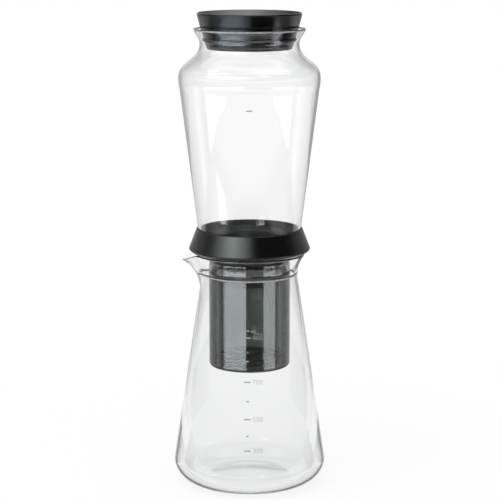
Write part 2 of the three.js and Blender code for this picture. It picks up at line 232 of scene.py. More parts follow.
# Heights above the table, from the lowest points of the collar and the cup in the frame
COLLAR_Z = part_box("collar")[0].z / MM + COLLAR_CONE_DEPTH
CUP_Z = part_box("strainer_cup")[0].z / MM - CUP_BOTTOM
SEAL_Z = CUP_Z + CUP_FLANGE + SEAT_GAP
BOWL_Z = SEAL_Z + SEAL_THICKNESS + SEAT_GAP
LID_Z = BOWL_Z + BOWL_HEIGHT
TRAY_Z = CUP_Z + CUP_FLANGE - CUP_LEDGE_DROP + SEAT_GAP
FLOOR_TOP_Z = CUP_Z + CUP_FLOOR_TOP
SCREEN_Z = FLOOR_TOP_Z + RIB_HEIGHT + SEAT_GAP
FRAME_Z = SCREEN_Z + SCREEN_THICKNESS + SEAT_GAP


def at(radius, height):
    return Vector((radius, height))


# Outlines

EASE_LIMIT = 0.4  # the greatest share of an edge that easing one of its ends takes
EASE_PULL = 0.6  # how far towards the corner the controls of the eased curve lie


def curve(start, start_control, end_control, end, steps=CURVE_STEPS):
    """Points along a cubic curve, without its first point."""
    points = []
    for i in range(1, steps + 1):
        t = i / steps
        s = 1 - t
        points.append(start * s**3 + start_control * 3 * s * s * t + end_control * 3 * s * t * t + end * t**3)
    return points


def arc(centre, width, height, from_turn, to_turn, steps=CORNER_STEPS):
    """Points along part of an ellipse, from one angle to another in turns of a circle."""
    turns = [from_turn + (to_turn - from_turn) * i / steps for i in range(steps + 1)]
    return [centre + at(width * math.cos(TURN * t), height * math.sin(TURN * t)) for t in turns]


def line(start, end, steps):
    """Points along a straight line, without its first point."""
    return [start.lerp(end, i / steps) for i in range(1, steps + 1)]


def inside(outline, wall_at):
    """The outline moved inwards by a wall whose thickness may depend on the height."""
    moved = []
    for i, point in enumerate(outline):
        along = (outline[min(i + 1, len(outline) - 1)] - outline[max(i - 1, 0)]).normalized()
        wall = wall_at(point.y)
        inwards = at(-along.y, along.x) * wall
        moved.append(at(0, point.y + wall) if point.x == 0 else point + inwards)
    return moved


def rounded_rim(outer, inner, steps=2 * CORNER_STEPS):
    """The half circle that joins the outer and inner edges of a fire-polished rim."""
    middle = outer.lerp(inner, 0.5)
    arm = outer - middle
    points = []
    for i in range(1, steps):
        turn = math.pi * i / steps
        points.append(middle + at(
            arm.x * math.cos(turn) - arm.y * math.sin(turn),
            arm.x * math.sin(turn) + arm.y * math.cos(turn),
        ))
    return points


def softened(outline, radius, sharp=math.radians(14)):
    """The outline with its sharp corners eased, as moulded edges are. Ends on the axis stay."""
    count = len(outline)
    open_ended = outline[0].x == 0 and outline[-1].x == 0
    points = []
    for i, point in enumerate(outline):
        before = outline[i - 1] - point
        after = outline[(i + 1) % count] - point
        straight = math.pi - before.angle(after, math.pi)
        if (open_ended and i in (0, count - 1)) or straight < sharp:
            points.append(point)
            continue
        cut = min(radius, before.length * EASE_LIMIT, after.length * EASE_LIMIT)
        start = point + before.normalized() * cut
        end = point + after.normalized() * cut
        pulled = start.lerp(point, EASE_PULL), end.lerp(point, EASE_PULL)
        points += [start, *curve(start, *pulled, end, CORNER_STEPS - 1)]
    return points


def radius_at(outline, height):
    """Radius of an outline at a height, on the line between its two nearest points."""
    for low, high in zip(outline, outline[1:]):
        if low.y <= height <= high.y:
            return low.x + (high.x - low.x) * (height - low.y) / (high.y - low.y)
    return outline[-1].x


# Meshes

LEFTOVER = 0.001  # edges shorter than this, which a boolean leaves, are dissolved


def added(name, data):
    """A new object in the scene."""
    made = bpy.data.objects.new(name, data)
    bpy.context.scene.collection.objects.link(made)
    return made


def solid(name, form):
    """A new object with this form as its mesh."""
    bmesh.ops.recalc_face_normals(form, faces=form.faces)
    mesh = bpy.data.meshes.new(name)
    form.to_mesh(mesh)
    form.free()
    return added(name, mesh)


def piece(name, form, body, slot, material, *nodes):
    """A finished mesh object that rides on a body and stands for the nodes that it replaces."""
    made = solid(name, form)
    made.data.shade_smooth()
    made.data.materials.append(material)
    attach(made, body)
    if nodes:
        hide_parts(*nodes)
    return made


def evenly(steps):
    """Angles all the way round."""
    return [TURN * i / steps for i in range(steps)]


def turned(outline, base=0, angles=None, form=None):
    """A solid of revolution about Z, from an outline that closes or that starts and ends on the axis."""
    form = form or bmesh.new()
    angles = angles or evenly(ROUND_STEPS)
    rings = []
    for point in outline:
        height = (point.y + base) * MM
        if point.x == 0:
            rings.append([form.verts.new((0, 0, height))])
            continue
        reach = point.x * MM
        rings.append([form.verts.new((reach * math.cos(a), reach * math.sin(a), height)) for a in angles])
    open_ended = outline[0].x == 0
    pairs = list(zip(rings, rings[1:])) + ([] if open_ended else [(rings[-1], rings[0])])
    count = len(angles)
    for low, high in pairs:
        for i in range(count):
            j = (i + 1) % count
            corners = [low[i % len(low)], low[j % len(low)], high[j % len(high)], high[i % len(high)]]
            form.faces.new(list(dict.fromkeys(corners)))
    return form


def joined(base_form, tool_form, operation):
    """One form cut by, or joined to, another that may hold several closed bodies."""
    base = solid("work", base_form)
    tool = solid("work", tool_form)
    modifier = base.modifiers.new("join", "BOOLEAN")
    modifier.operation = operation
    modifier.object = tool
    modifier.solver = "EXACT"
    result = bmesh.new()
    result.from_object(base, bpy.context.evaluated_depsgraph_get())
    bmesh.ops.dissolve_degenerate(result, dist=LEFTOVER * MM, edges=result.edges)
    for used in (base, tool):
        mesh = used.data
        bpy.data.objects.remove(used)
        bpy.data.meshes.remove(mesh)
    return result


def keep_edges(made, angle=32):
    """Flat faces stay flat beside eased edges, and the remaining sharp edges stay sharp."""
    made.data.set_sharp_from_angle(angle=math.radians(angle))
    modifier = made.modifiers.new("even normals", "WEIGHTED_NORMAL")
    modifier.keep_sharp = True
    modifier.weight = 70


def paint_highlight_band(made, material, low, high, spout_gap=0):
    """Gives the faces between two heights the painted highlight material, but for a gap at the spout."""
    made.data.materials.append(material)
    for face in made.data.polygons:
        from_spout = math.pi - abs(math.atan2(face.center.y, face.center.x))
        if low < face.center.z / MM < high and from_spout > spout_gap:
            face.material_index = 1


def bar(form, low, high, turn):
    """A box between two corners, turned about Z."""
    corners = []
    for z in (low[2], high[2]):
        for x, y in ((low[0], low[1]), (high[0], low[1]), (high[0], high[1]), (low[0], high[1])):
            corners.append(form.verts.new((
                (x * math.cos(turn) - y * math.sin(turn)) * MM,
                (x * math.sin(turn) + y * math.cos(turn)) * MM,
                z * MM,
            )))
    for face in ((0, 1, 2, 3), (4, 5, 6, 7), (0, 1, 5, 4), (1, 2, 6, 5), (2, 3, 7, 6), (3, 0, 4, 7)):
        form.faces.new([corners[i] for i in face])


# Materials

GLASS_IOR = 1.47
WEAVE_PITCH = 0.7
WAVE_RATE = 20  # how many radians the wave texture turns in one unit of its scale


def shader_of(material):
    return material.node_tree.nodes["Principled BSDF"]


def new_material(name, colour, roughness, **settings):
    """A material whose plain values sit on the shader itself. Settings are socket names with _ for blanks."""
    material = bpy.data.materials.new(name)
    material.use_nodes = True
    shader = shader_of(material)
    shader.inputs["Base Color"].default_value = (*colour, 1)
    shader.inputs["Roughness"].default_value = roughness
    for socket, value in settings.items():
        shader.inputs[socket.replace("_", " ")].default_value = value
    return material


def node(material, kind, **values):
    """A new shader node, with values as in new_material."""
    made = material.node_tree.nodes.new(kind)
    for socket, value in values.items():
        made.inputs[socket.replace("_", " ")].default_value = value
    return made


def place_node(material):
    """The object's own coordinates, from one node for all the textures."""
    for known in material.node_tree.nodes:
        if known.type == "TEX_COORD":
            return known.outputs["Object"]
    return node(material, "ShaderNodeTexCoord").outputs["Object"]


def noise(material, size, detail=3):
    """Noise whose lumps are about size millimetres across."""
    made = node(material, "ShaderNodeTexNoise", Scale=1 / (size * MM), Detail=detail)
    material.node_tree.links.new(place_node(material), made.inputs["Vector"])
    return made.outputs["Fac"]


def spread(material, source, low, high):
    """The source, about 0.3 to 0.7 as noise is, brought to between two values."""
    made = node(material, "ShaderNodeMapRange", From_Min=0.3, From_Max=0.7, To_Min=low, To_Max=high)
    material.node_tree.links.new(source, made.inputs["Value"])
    return made.outputs["Result"]


def vary_roughness(material, size, low, high):
    """The roughness drifts between two values."""
    links = material.node_tree.links
    links.new(spread(material, noise(material, size), low, high), shader_of(material).inputs["Roughness"])


def vary_colour(material, size, dark, light):
    """The base colour drifts between two colours."""
    mix = material.node_tree.nodes.new("ShaderNodeMix")
    mix.data_type = "RGBA"
    mix.inputs["A"].default_value = (*dark, 1)
    mix.inputs["B"].default_value = (*light, 1)
    links = material.node_tree.links
    links.new(spread(material, noise(material, size), 0, 1), mix.inputs["Factor"])
    links.new(mix.outputs["Result"], shader_of(material).inputs["Base Color"])


def bump(material, source, depth, after=None):
    """Relief of a depth in millimetres, over an earlier relief if there is one."""
    made = node(material, "ShaderNodeBump", Strength=1, Distance=depth * MM)
    links = material.node_tree.links
    links.new(source, made.inputs["Height"])
    if after:
        links.new(after, made.inputs["Normal"])
    links.new(made.outputs["Normal"], shader_of(material).inputs["Normal"])
    return made.outputs["Normal"]


def tint_inside(material, colour, density):
    """Light loses colour on its way through the material. Density is per millimetre."""
    made = node(material, "ShaderNodeVolumeAbsorption", Density=density / MM)
    made.inputs["Color"].default_value = (*colour, 1)
    output = material.node_tree.nodes["Material Output"]
    material.node_tree.links.new(made.outputs["Volume"], output.inputs["Volume"])


def blown_glass(name, density):
    """Clear heatproof glass: faint waves from blowing, faintly grey along its edges."""
    material = new_material(name, (1, 1, 1), roughness=0, IOR=GLASS_IOR, Transmission_Weight=1)
    tint_inside(material, (0.35, 0.4, 0.46), density)
    vary_roughness(material, size=22, low=0, high=0.02)
    bump(material, noise(material, size=44, detail=1), depth=0.03)
    return material


def painted_highlight_glass(name, colour):
    """Painted highlight: pale, half-diffuse satin glass whose colour stands in for the bright line of light
    along a rim or fold.
    """
    material = new_material(name, colour, roughness=0.3, IOR=GLASS_IOR, Transmission_Weight=0.6)
    tint_inside(material, (0.34, 0.42, 0.44), density=0.02)
    vary_roughness(material, size=4, low=0.22, high=0.38)
    bump(material, noise(material, size=6, detail=2), depth=0.02)
    return material


def smoked_plastic():
    """Polished translucent smoke grey, a little olive, with faint flow marks and hair scratches."""
    material = new_material("smoked_plastic", (1, 1, 1), roughness=0.03, IOR=1.57, Transmission_Weight=1)
    tint_inside(material, (0.08, 0.12, 0.08), density=0.67)
    vary_roughness(material, size=9, low=0.015, high=0.05)
    bump(material, noise(material, size=14, detail=2), depth=0.02)
    return material


def black_moulding(name, roughness, shine, grain):
    """Black moulded plastic with a fine eroded grain and slightly uneven gloss."""
    material = new_material(name, (0.003, 0.0031, 0.0034), roughness, IOR=1.5, Specular_IOR_Level=shine)
    vary_colour(material, size=6, dark=(0.0024, 0.0025, 0.0028), light=(0.004, 0.0042, 0.0046))
    vary_roughness(material, size=4, low=roughness * 0.88, high=roughness * 1.12)
    fine = bump(material, noise(material, size=0.45, detail=2), grain)
    bump(material, noise(material, size=17, detail=1), depth=0.008, after=fine)
    return material


def silicone():
    """Dark grey silicone with a dull, very fine surface."""
    material = new_material("silicone", (0.05, 0.052, 0.055), roughness=0.55, IOR=1.43)
    vary_colour(material, size=5, dark=(0.045, 0.047, 0.05), light=(0.06, 0.062, 0.066))
    vary_roughness(material, size=3, low=0.48, high=0.62)
    bump(material, noise(material, size=0.6, detail=2), depth=0.012)
    return material


def woven_steel():
    """Fine woven screen: two sets of wires crossing at right angles."""
    material = new_material("woven_steel", (0.82, 0.83, 0.84), roughness=0.42, Metallic=0.12)
    links = material.node_tree.links
    waves = []
    for direction in ("X", "Y"):
        wave = node(material, "ShaderNodeTexWave", Scale=TURN / (WAVE_RATE * WEAVE_PITCH * MM))
        wave.bands_direction = direction
        links.new(place_node(material), wave.inputs["Vector"])
        waves.append(wave.outputs["Fac"])
    weave = material.node_tree.nodes.new("ShaderNodeMath")
    weave.operation = "MAXIMUM"
    for source, socket in zip(waves, weave.inputs):
        links.new(source, socket)
    bump(material, weave.outputs["Value"], depth=0.03)
    vary_roughness(material, size=2, low=0.35, high=0.5)
    vary_colour(material, size=1.2, dark=(0.76, 0.77, 0.78), light=(0.88, 0.89, 0.9))
    return material


def enamel():
    """Pale grey enamel ink, fired on the glass, slightly uneven."""
    material = new_material("enamel", (0.38, 0.38, 0.39), roughness=0.5)
    vary_colour(material, size=0.8, dark=(0.34, 0.34, 0.35), light=(0.42, 0.42, 0.43))
    bump(material, noise(material, size=0.3, detail=2), depth=0.008)
    return material


CARAFE_GLASS = blown_glass("carafe_glass", density=0.024)
BOWL_GLASS = blown_glass("bowl_glass", density=0.013)
# Painted highlights: pale glass bands for the bowl's rim and the carafe's neck fold
BOWL_RIM_HIGHLIGHT = painted_highlight_glass("bowl_rim_highlight", (0.8, 0.87, 0.93))
CARAFE_FOLD_HIGHLIGHT = painted_highlight_glass("carafe_fold_highlight", (0.95, 0.95, 0.92))
SMOKE = smoked_plastic()
COLLAR_BLACK = black_moulding("matte_black", roughness=0.2, shine=0.45, grain=0.006)
LID_BLACK = black_moulding("satin_black", roughness=0.13, shine=0.42, grain=0.001)
TRAY_BLACK = black_moulding("tray_black", roughness=0.3, shine=0.5, grain=0.006)
SILICONE = silicone()
STEEL = woven_steel()
ENAMEL = enamel()


# Carafe

def carafe_outline():
    ring_outer = BASE_RING_INNER + BASE_RING_WIDTH
    body_radius = ring_outer + CORNER_WIDTH
    throat = at(THROAT_RADIUS - NECK_DRAWN_IN, THROAT_HEIGHT + NECK_FOLD_RISE)
    cone_top = at(throat.x - NECK_STEP, throat.y - NECK_FOLD)
    slope = (body_radius - cone_top.x) / (cone_top.y - CORNER_HEIGHT)
    corner_middle = at(ring_outer, CORNER_HEIGHT)
    corner_end = math.atan(slope * CORNER_HEIGHT / CORNER_WIDTH) / TURN
    flat_share, turn_share = 0.55, 0.86
    rise_share, edge_share, drop_share = 0.42, 0.44, 0.24
    middle = at(0, BASE_HOLLOW)
    ring = at(BASE_RING_INNER, 0)
    mouth = at(MOUTH_RADIUS, CARAFE_HEIGHT - CARAFE_WALL / 2)
    control = NECK_FOLD / 2
    corner = arc(corner_middle, CORNER_WIDTH, CORNER_HEIGHT, -0.25, corner_end, 2 * CURVE_STEPS)
    return [
        middle,
        *curve(middle, at(ring.x * flat_share, middle.y), at(ring.x * turn_share, 0), ring),
        *corner,
        *line(corner[-1], cone_top, CURVE_STEPS),
        *curve(cone_top, at(cone_top.x - slope * control, cone_top.y + control),
               at(throat.x, throat.y - control), throat, 2 * CORNER_STEPS),
        *curve(throat, at(throat.x, throat.y + THROAT_DROP * rise_share),
               at(mouth.x - MOUTH_FLARE * edge_share, mouth.y - THROAT_DROP * drop_share), mouth),
    ]


def carafe_wall():
    outer = carafe_outline()
    extra = BASE_THICKNESS - CARAFE_WALL
    inner = inside(outer, lambda height: CARAFE_WALL + extra * max(0, 1 - height / CORNER_HEIGHT))
    return [*outer, *rounded_rim(outer[-1], inner[-1]), *reversed(inner)]


def draw_spout(form):
    """Draws the wall out into a pouring lip on the -X side."""
    start = CARAFE_HEIGHT - SPOUT_DEPTH
    for vertex in form.verts:
        x, y, z = vertex.co / MM
        if z <= start:
            continue
        turn = math.atan2(y, x)
        near = math.exp(-(((math.pi - abs(turn)) / SPOUT_HALF_ANGLE) ** 2))
        rise = min((z - start) / SPOUT_DEPTH, 1)
        drawn = math.hypot(x, y) + SPOUT_REACH * near * math.sin(rise * math.pi / 2) ** SPOUT_REACH_POWER
        dropped = z - SPOUT_DROOP * near * rise**SPOUT_DROOP_POWER
        vertex.co = Vector((drawn * math.cos(turn), drawn * math.sin(turn), dropped)) * MM


def build_carafe():
    # The steps round the glass are closer together at the spout.
    angles = [a + SPOUT_CROWDING_SHARE * math.sin(a) for a in evenly(ROUND_STEPS)]
    form = turned(carafe_wall(), angles=angles)
    draw_spout(form)
    glass = piece("carafe_glass", form, "carafe", "clear_glass", CARAFE_GLASS, "carafe")
    # The neck fold gets a painted highlight band for the bright line of light along it
    fold_top = THROAT_HEIGHT + NECK_FOLD_RISE
    fold_low = fold_top - NECK_FOLD * FOLD_HIGHLIGHT_SHARE
    paint_highlight_band(glass, CARAFE_FOLD_HIGHLIGHT, fold_low, fold_top, FOLD_HIGHLIGHT_GAP * SPOUT_HALF_ANGLE)


# Water bowl

def bowl_outline():
    slope = BOWL_CONE_FLARE / BOWL_CONE_HEIGHT
    foot = at(BOWL_FOOT, BOWL_WALL / 2)
    cone_top = at(BOWL_FOOT + BOWL_CONE_FLARE, BOWL_CONE_HEIGHT)
    widest = at(BOWL_WIDEST, BOWL_WIDEST_HEIGHT)
    throat = at(BOWL_THROAT_RADIUS, BOWL_THROAT_HEIGHT)
    mouth = at(BOWL_THROAT_RADIUS + BOWL_MOUTH_FLARE, BOWL_HEIGHT - BOWL_WALL / 2)
    ease = BOWL_SHOULDER * BOWL_SHOULDER_SHARE
    start_share, end_share = 0.54, 0.53
    rise_share, edge_share, drop_share = 0.3, 0.35, 0.33
    return [
        foot,
        *line(foot, cone_top, CURVE_STEPS),
        *curve(cone_top, at(cone_top.x + slope * ease, cone_top.y + ease),
               at(widest.x, widest.y - ease), widest),
        *curve(widest, at(widest.x, widest.y + BOWL_THROAT_RISE * start_share),
               at(throat.x, throat.y - BOWL_THROAT_RISE * end_share), throat, 2 * CURVE_STEPS),
        *curve(throat, at(throat.x, throat.y + BOWL_MOUTH_HEIGHT * rise_share),
               at(mouth.x - BOWL_MOUTH_FLARE * edge_share, mouth.y - BOWL_MOUTH_HEIGHT * drop_share), mouth),
    ]


def build_bowl():
    outer = bowl_outline()
    inner = inside(outer, lambda height: BOWL_WALL)
    wall = [*outer, *rounded_rim(outer[-1], inner[-1]), *reversed(inner), *rounded_rim(inner[0], outer[0])]
    glass = piece("bowl_glass", turned(wall, BOWL_Z), "bowl", "clear_glass", BOWL_GLASS, "water_bowl")
    # The rim gets a painted highlight band for the bright line of light along it
    rim = BOWL_Z + BOWL_HEIGHT
    paint_highlight_band(glass, BOWL_RIM_HIGHLIGHT, rim - RIM_HIGHLIGHT, rim)


# Collar

def build_collar():
    bowl_base = BOWL_Z - COLLAR_Z

    def socket_at(height):
        return radius_at(bowl_outline(), height - bowl_base) + SEAT_GAP

    socket = BOWL_FOOT + SEAT_GAP
    foot_end = bowl_base + BOWL_WALL
    lip_inner = socket_at(COLLAR_HEIGHT)
    edge = at(COLLAR_RADIUS - COLLAR_EDGE_RADIUS, COLLAR_EDGE_HEIGHT)
    outline = [
        at(COLLAR_BORE, -COLLAR_CONE_DEPTH),
        at(COLLAR_BORE + COLLAR_CONE_EDGE, -COLLAR_CONE_DEPTH),
        at(COLLAR_BORE + COLLAR_CONE_WIDTH, 0),
        at(MOUTH_RADIUS + COLLAR_UNDERSIDE, 0),
        *arc(edge, COLLAR_EDGE_RADIUS, COLLAR_EDGE_RADIUS, *COLLAR_EDGE_TURNS, 2 * CORNER_STEPS),
        at(lip_inner + COLLAR_LIP, COLLAR_HEIGHT),
        at(lip_inner, COLLAR_HEIGHT),
        at(socket_at(foot_end), foot_end),
        at(socket, bowl_base),
        at(socket, COLLAR_LEDGE),
        at(COLLAR_BORE, COLLAR_LEDGE),
    ]
    form = turned(softened(outline, COLLAR_EASE), COLLAR_Z)
    keep_edges(piece("collar_moulding", form, "collar", "black_plastic", COLLAR_BLACK, "collar"))


# Strainer cup and what stays in it

def build_cup():
    corner = at(CUP_RADIUS - CUP_CORNER, CUP_BOTTOM + CUP_CORNER)
    drain = NOZZLE_RADIUS + SLIP_GAP
    ledge = CUP_FLANGE - CUP_LEDGE_DROP
    outline = [
        at(drain, CUP_BOTTOM),
        *arc(corner, CUP_CORNER, CUP_CORNER, -0.25, 0, 2 * CORNER_STEPS),
        at(CUP_RADIUS, 0),
        at(FLANGE_RADIUS, 0),
        at(FLANGE_RADIUS, CUP_FLANGE),
        at(CUP_UPPER_INNER, CUP_FLANGE),
        at(CUP_UPPER_INNER, ledge),
        at(CUP_LOWER_INNER, ledge),
        at(CUP_LOWER_INNER, CUP_FLOOR_TOP),
        at(drain, CUP_FLOOR_TOP),
    ]
    ribs = bmesh.new()
    for i in range(RIB_COUNT):
        bar(
            ribs,
            (RIB_START, -RIB_WIDTH / 2, FLOOR_TOP_Z - RIB_SINK),
            (CUP_LOWER_INNER - RIB_MARGIN, RIB_WIDTH / 2, FLOOR_TOP_Z + RIB_HEIGHT),
            TURN * (i + 0.5) / RIB_COUNT,
        )
    form = joined(turned(softened(outline, CUP_EASE), CUP_Z), ribs, "UNION")
    keep_edges(piece("cup_moulding", form, "strainer", "smoked_plastic", SMOKE, "strainer_cup"))


def build_seal():
    lip_outer = BOWL_FOOT - BOWL_WALL - SLIP_GAP
    lip_top = SEAL_THICKNESS + SEAL_LIP_HEIGHT
    inner = CUP_RADIUS + SEAL_INNER_MARGIN
    outline = [
        at(inner, 0),
        at(FLANGE_RADIUS, 0),
        at(FLANGE_RADIUS, SEAL_THICKNESS),
        at(lip_outer, SEAL_THICKNESS),
        at(lip_outer, lip_top),
        at(lip_outer - SEAL_LIP_WIDTH, lip_top),
        at(inner, SEAL_THICKNESS),
    ]
    form = turned(softened(outline, SEAL_EASE), SEAL_Z)
    keep_edges(piece("seal_ring", form, "strainer", "rubber", SILICONE, "bowl_seal"))


def build_filter():
    screen = [at(0, 0), at(SCREEN_RADIUS, 0), at(SCREEN_RADIUS, SCREEN_THICKNESS), at(0, SCREEN_THICKNESS)]
    form = turned(softened(screen, SCREEN_EASE), SCREEN_Z)
    keep_edges(piece("screen_mesh", form, "strainer", "steel_mesh", STEEL, "filter_screen"))
    inner = SCREEN_RADIUS - FRAME_RING_WIDTH
    ring = [at(inner, 0), at(SCREEN_RADIUS, 0), at(SCREEN_RADIUS, FRAME_HEIGHT), at(inner, FRAME_HEIGHT)]
    reach = inner + FRAME_RING_WIDTH / 2
    low = (-reach, -SPOKE_WIDTH / 2, FRAME_Z)
    high = (reach, SPOKE_WIDTH / 2, FRAME_Z + FRAME_HEIGHT)
    form = turned(softened(ring, FRAME_EASE), FRAME_Z)
    for i in range(SPOKE_COUNT):
        spoke = bmesh.new()
        bar(spoke, low, high, math.pi * i / SPOKE_COUNT)
        form = joined(form, spoke, "UNION")
    keep_edges(piece("filter_ring", form, "strainer", "black_plastic", TRAY_BLACK, "filter_frame"))


def build_nozzle():
    barb_top = -CUP_FLOOR - SEAT_GAP
    barb_low = barb_top - BARB_THICKNESS
    flange_top = SEAT_GAP + NOZZLE_FLANGE
    outline = [
        at(NOZZLE_BORE, barb_low - TIP_LENGTH),
        at(TIP_RADIUS, barb_low - TIP_LENGTH),
        at(NOZZLE_RADIUS, barb_low),
        at(NOZZLE_RADIUS + BARB_WIDTH, barb_top),
        at(NOZZLE_RADIUS, barb_top),
        at(NOZZLE_RADIUS, SEAT_GAP),
        at(NOZZLE_FLANGE_RADIUS, SEAT_GAP),
        at(NOZZLE_FLANGE_RADIUS, flange_top),
        at(NOZZLE_BORE, flange_top),
    ]
    form = turned(softened(outline, NOZZLE_EASE), FLOOR_TOP_Z, evenly(SMALL_STEPS))
    keep_edges(piece("nozzle_grommet", form, "strainer", "rubber", SILICONE, "drip_nozzle"))


def build_tray():
    radius = CUP_UPPER_INNER - SEAT_GAP
    pan = radius - TRAY_WALL
    knob = at(KNOB_RADIUS - KNOB_ROUND, KNOB_HEIGHT - KNOB_ROUND)
    outline = [
        at(0, 0),
        at(radius, 0),
        at(radius, TRAY_HEIGHT),
        at(pan, TRAY_HEIGHT),
        at(pan, TRAY_FLOOR),
        at(KNOB_RADIUS, TRAY_FLOOR),
        *arc(knob, KNOB_ROUND, KNOB_ROUND, 0, 0.25, 2 * CORNER_STEPS),
        at(0, KNOB_HEIGHT),
    ]
    holes = bmesh.new()
    drill_low = -DRILL_MARGIN
    drill_top = TRAY_FLOOR + DRILL_MARGIN
    drill = [at(0, drill_low), at(HOLE_RADIUS, drill_low), at(HOLE_RADIUS, drill_top), at(0, drill_top)]
    for share, count in HOLE_RINGS:
        for angle in evenly(count):
            started = len(holes.verts)
            turned(drill, TRAY_Z, evenly(HOLE_STEPS), holes)
            holes.verts.ensure_lookup_table()
            shift = Vector((math.cos(angle), math.sin(angle), 0)) * pan * share * MM
            bmesh.ops.translate(holes, verts=holes.verts[started:], vec=shift)
    form = joined(turned(softened(outline, TRAY_EASE), TRAY_Z), holes, "DIFFERENCE")
    keep_edges(piece("tray_moulding", form, "spreader", "black_plastic", TRAY_BLACK, "spreader_tray"))


# Lid

def build_lid():
    gasket_top = -GASKET_DROP
    gasket_middle = gasket_top - GASKET_HEIGHT / 2
    gasket_low = gasket_top - GASKET_HEIGHT
    bowl_inner = inside(bowl_outline(), lambda height: BOWL_WALL)
    gasket_radius = radius_at(bowl_inner, BOWL_HEIGHT + gasket_middle) - SEAT_GAP
    root = gasket_radius - GASKET_REACH

    def plug_at(height):
        return root + (height - gasket_middle) * PLUG_TAPER / PLUG_DEPTH

    rim = plug_at(0)
    bottom = -PLUG_DEPTH
    edge = at(rim + CAP_FLARE - LID_EDGE, CAP_HEIGHT - LID_EDGE)
    groove_top = gasket_top + SEAT_GAP
    groove_low = gasket_low - SEAT_GAP
    groove = root - GASKET_GROOVE
    ceiling = CAP_HEIGHT - LID_TOP
    outline = [
        at(0, ceiling),
        at(rim - LID_WALL, ceiling),
        at(plug_at(groove_top) - LID_WALL, groove_top),
        at(plug_at(bottom) - LID_WALL, bottom),
        at(plug_at(bottom), bottom),
        at(plug_at(groove_low), groove_low),
        at(groove, groove_low),
        at(groove, groove_top),
        at(plug_at(groove_top), groove_top),
        at(rim, 0),
        *arc(edge, LID_EDGE, LID_EDGE, *LID_EDGE_TURNS, 2 * CORNER_STEPS),
        at(0, CAP_HEIGHT),
    ]
    form = turned(softened(outline, LID_EASE), LID_Z)
    keep_edges(piece("lid_moulding", form, "lid", "black_plastic", LID_BLACK, "lid"))
    bore = groove + SEAT_GAP
    ring = [
        at(bore, gasket_low),
        at(root, gasket_low),
        at(gasket_radius, gasket_middle),
        at(root, gasket_top),
        at(bore, gasket_top),
    ]
    form = turned(softened(ring, GASKET_EASE), LID_Z)
    keep_edges(piece("lid_ring", form, "lid", "rubber", SILICONE, "lid_gasket"))


# Print

def stroke(form, points, width, on_glass, closed=False):
    """A thin raised line of ink along points on the glass, given as sideways place and height."""
    count = len(points)
    rings = []
    for i, point in enumerate(points):
        before = points[i - 1] if closed or i else point
        after = points[(i + 1) % count] if closed or i < count - 1 else point
        along = (after - before).normalized()
        side = at(-along.y, along.x) * (width / 2)
        corners = ((side, -PRINT_SINK), (-side, -PRINT_SINK), (-side, PRINT_LIFT), (side, PRINT_LIFT))
        rings.append([form.verts.new(on_glass(point + shift, lift)) for shift, lift in corners])
    for i in range(count if closed else count - 1):
        here, there = rings[i], rings[(i + 1) % count]
        for k in range(4):
            j = (k + 1) % 4
            form.faces.new([here[k], here[j], there[j], there[k]])
    if not closed:
        form.faces.new(rings[0])
        form.faces.new(rings[-1])


def glyph(symbol):
    """The strokes of a symbol in a cell one high: for each, its points and whether it closes."""
    wide = 0.55
    mid = wide / 2
    if symbol == "0":
        return [(arc(at(mid, 0.5), mid, 0.5, 0, 1, 24)[:-1], True)]
    if symbol == "3":
        upper = arc(at(mid, 0.75), mid * 0.85, 0.25, 0.42, -0.25, 12)
        lower = arc(at(mid, 0.27), mid, 0.27, 0.25, -0.42, 14)
        return [(upper, False), (lower, False)]
    if symbol == "5":
        bowl = arc(at(mid * 0.95, 0.31), mid, 0.31, 0.33, -0.4, 16)
        return [([at(wide * 0.9, 1), at(wide * 0.2, 1), at(wide * 0.12, 0.52)], False), (bowl, False)]
    if symbol == "7":
        return [([at(0, 1), at(wide, 1)], False), ([at(wide, 1), at(wide * 0.3, 0)], False)]
    if symbol == "9":
        ring = arc(at(mid, 0.7), mid, 0.3, 0, 1, 20)[:-1]
        tail = curve(at(wide, 0.68), at(wide, 0.45), at(wide * 0.75, 0.2), at(wide * 0.45, 0), 6)
        return [(ring, True), ([at(wide, 0.68), *tail], False)]
    if symbol == "m":
        strokes = [([at(0, 0), at(0, 0.62)], False)]
        for k in range(2):
            hump = arc(at(0.17 + 0.34 * k, 0.45), 0.17, 0.17, 0.5, 0, 8)
            strokes.append(([*hump, at(0.34 + 0.34 * k, 0)], False))
        return strokes
    return [([at(0, 0), at(0, 1)], False)]


def level_line(span, height):
    """The points of a level line of the print."""
    start = at(span[0], height)
    return [start, *line(start, at(span[1], height), PRINT_STEPS)]


def wrapped(outline):
    """Returns the function that lays a point of the print on the front of a glass with this outline."""
    def on_glass(point, lift):
        radius = radius_at(outline, point.y)
        angle = point.x / radius
        reach = (radius + lift) * MM
        return (reach * math.sin(angle), -reach * math.cos(angle), point.y * MM)
    return on_glass


